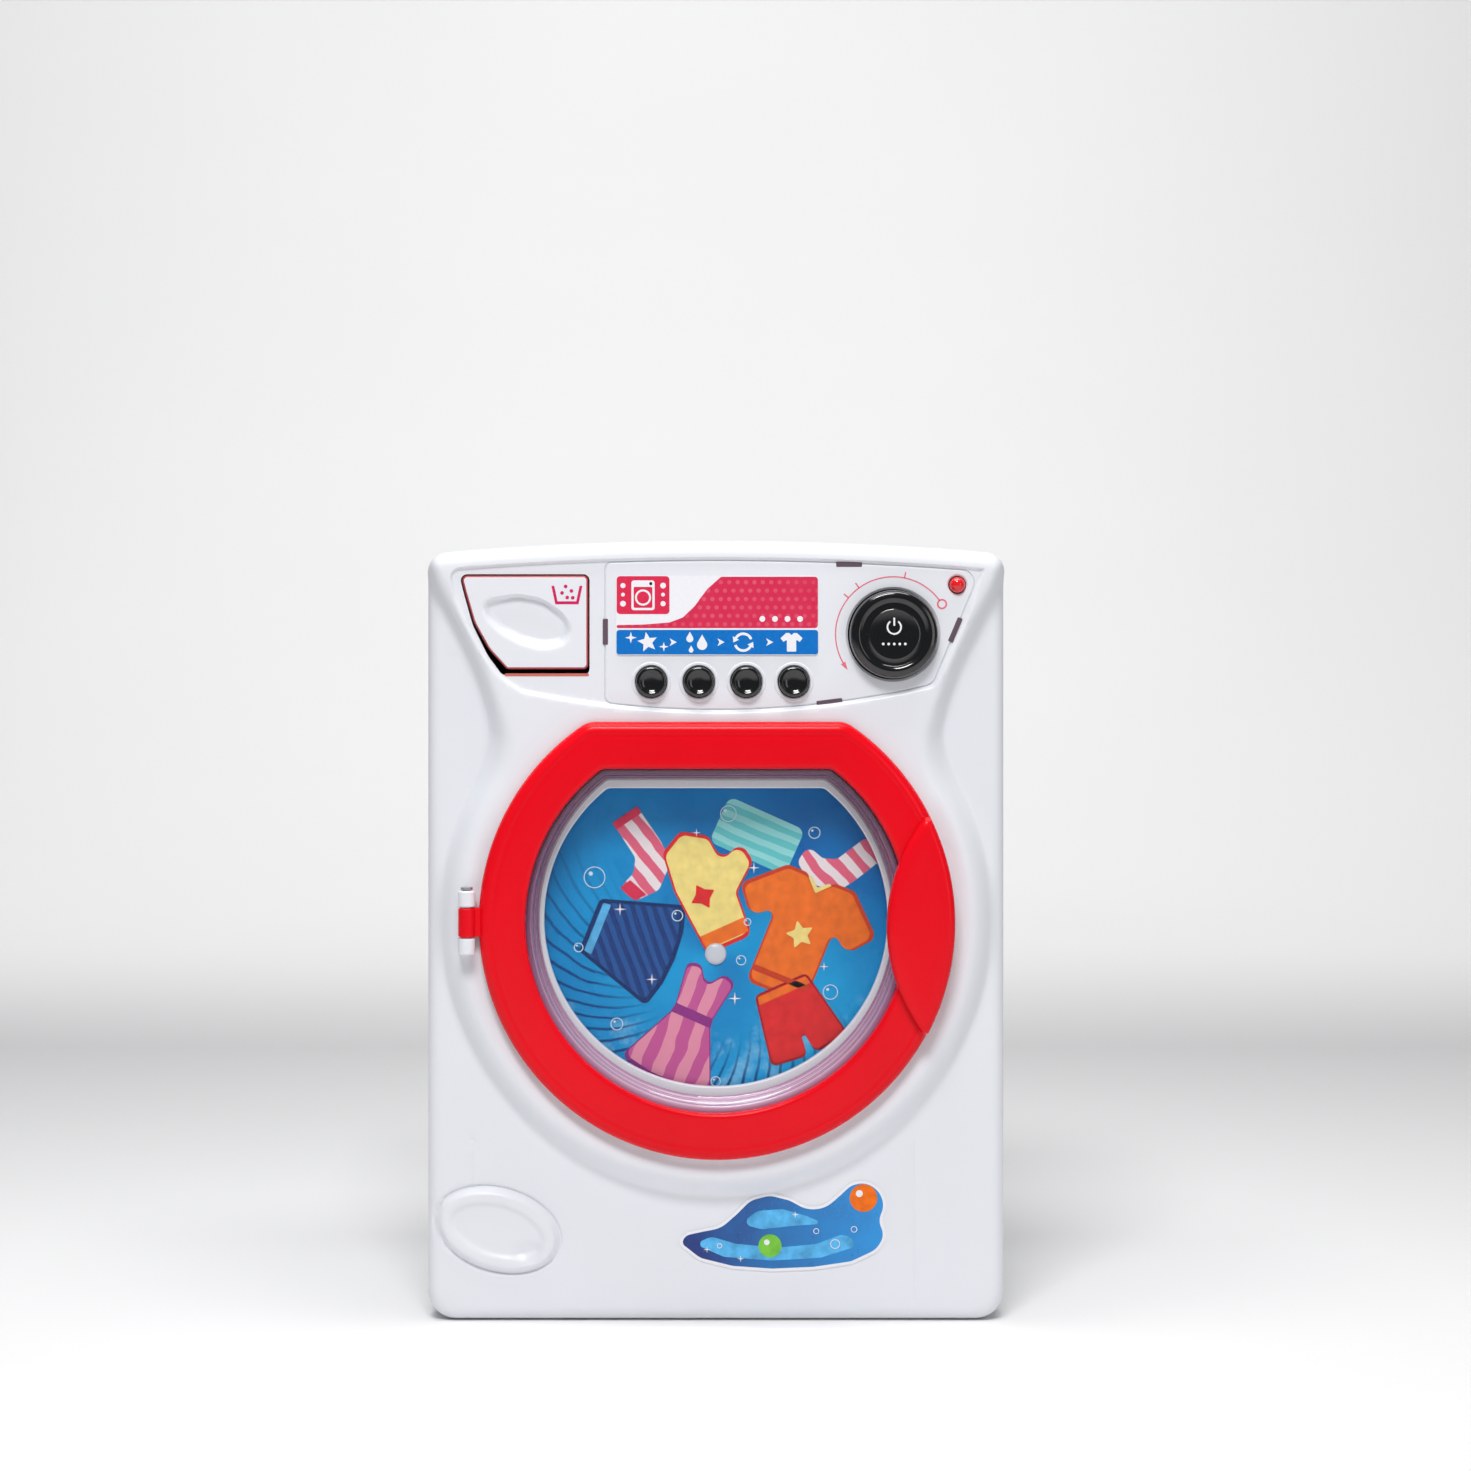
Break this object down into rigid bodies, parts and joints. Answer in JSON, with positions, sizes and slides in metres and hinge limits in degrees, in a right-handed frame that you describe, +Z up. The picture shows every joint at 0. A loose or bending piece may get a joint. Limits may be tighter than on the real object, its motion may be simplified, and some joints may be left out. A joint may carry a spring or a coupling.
{
  "type": "toy washing machine",
  "caption": "Battery toy washing machine: round opening door with window, turning picture drum, press buttons, power button and tilting detergent flap.",
  "frame": {"origin": "middle of the whole toy's box in X and Y, on the surface it stands on", "axes": "+Z up, the front with the door faces -Y, +X to the right as seen from the front"},
  "size_m": [0.18, 0.13, 0.243],
  "materials": {
    "white_shell": "satin",
    "red_gloss": "gloss",
    "clear_window": "clear gloss",
    "black_gloss": "high gloss",
    "printed_film": "printed, satin",
    "blue_drum": "satin",
    "grey_plastic": "satin",
    "lamp_red": "clear gloss",
    "grey_rubber": "matte",
    "circuit_board": "satin",
    "steel": "satin",
    "natural_nylon": "satin",
    "paper_cone": "matte",
    "cell_jacket": "gloss"
  },
  "bodies": {
    "body": {"front_shell": "white_shell", "rear_shell": "white_shell", "control_panel": "white_shell", "display_label": "printed_film", "front_sticker": "printed_film", "led": "lamp_red", "button_keypad": "grey_rubber", "control_board": "circuit_board", "power_switch": "grey_plastic", "power_spring": "steel", "door_hinge_pin": "steel", "tub": "white_shell", "tub_screw_1": "steel", "tub_screw_2": "steel", "tub_screw_3": "steel", "idler_axle": "steel", "gearbox_plate": "white_shell", "gearbox_screw_1": "steel", "gearbox_screw_2": "steel", "motor": "steel", "main_board": "circuit_board", "board_screw_1": "steel", "board_screw_2": "steel", "speaker": "steel", "speaker_cone": "paper_cone", "case_screw_1": "steel", "case_screw_2": "steel", "case_screw_3": "steel", "case_screw_4": "steel", "case_screw_5": "steel", "case_screw_6": "steel", "battery_cover": "white_shell", "battery_cover_screw": "steel", "battery_1": "cell_jacket", "battery_2": "cell_jacket", "battery_3": "cell_jacket", "battery_contact_left": "steel", "battery_contact_right": "steel"},
    "door": {"door_frame": "red_gloss", "door_window": "clear_window", "door_rear_ring": "red_gloss", "door_handle": "red_gloss", "door_screw_1": "steel", "door_screw_2": "steel", "door_screw_3": "steel", "door_screw_4": "steel"},
    "flap": {"detergent_flap": "white_shell", "detergent_tray": "white_shell"},
    "power_button": {"power_button": "black_gloss"},
    "button_1": {"program_button_1": "black_gloss"},
    "button_2": {"program_button_2": "black_gloss"},
    "button_3": {"program_button_3": "black_gloss"},
    "button_4": {"program_button_4": "black_gloss"},
    "drum": {"drum": "blue_drum", "drum_picture": "printed_film", "drum_cap": "grey_plastic", "drum_shaft": "steel", "drum_gear": "natural_nylon"},
    "idler": {"idler_gear": "natural_nylon"},
    "pinion": {"motor_pinion": "natural_nylon"}
  },
  "joints": [
    {"name": "door_hinge", "type": "hinge", "parent": "body", "child": "door", "pos_m": [-0.0771, -0.0599, 0.1252], "axis": [0, 0, -1], "range_deg": [0, 110]},
    {"name": "flap_hinge", "type": "hinge", "parent": "body", "child": "flap", "pos_m": [-0.0523, -0.0526, 0.2047], "axis": [1, 0, 0], "range_deg": [0, 35]},
    {"name": "power_button_slide", "type": "slide", "parent": "body", "child": "power_button", "axis": [0, 1, 0], "range_m": [0, 0.002], "stiffness_N_per_m": 300, "deforming": ["power_spring"]},
    {"name": "button_1_slide", "type": "slide", "parent": "body", "child": "button_1", "axis": [0, 1, 0], "range_m": [0, 0.0008], "stiffness_N_per_m": 500, "deforming": ["button_keypad"]},
    {"name": "button_2_slide", "type": "slide", "parent": "body", "child": "button_2", "axis": [0, 1, 0], "range_m": [0, 0.0008], "stiffness_N_per_m": 500, "deforming": ["button_keypad"]},
    {"name": "button_3_slide", "type": "slide", "parent": "body", "child": "button_3", "axis": [0, 1, 0], "range_m": [0, 0.0008], "stiffness_N_per_m": 500, "deforming": ["button_keypad"]},
    {"name": "button_4_slide", "type": "slide", "parent": "body", "child": "button_4", "axis": [0, 1, 0], "range_m": [0, 0.0008], "stiffness_N_per_m": 500, "deforming": ["button_keypad"]},
    {"name": "drum_spin", "type": "hinge", "parent": "body", "child": "drum", "pos_m": [0, -0.0429, 0.1138], "axis": [0, 1, 0], "continuous": true},
    {"name": "idler_spin", "type": "hinge", "parent": "body", "child": "idler", "pos_m": [0.012, -0.0188, 0.09302], "axis": [0, 1, 0], "continuous": true},
    {"name": "pinion_spin", "type": "hinge", "parent": "body", "child": "pinion", "pos_m": [0.019, -0.0152, 0.08089], "axis": [0, 1, 0], "continuous": true}
  ],
  "couplings": [
    {"joint": "idler_spin", "follows": "drum_spin", "ratio": -3},
    {"joint": "pinion_spin", "follows": "drum_spin", "ratio": 9}
  ]
}
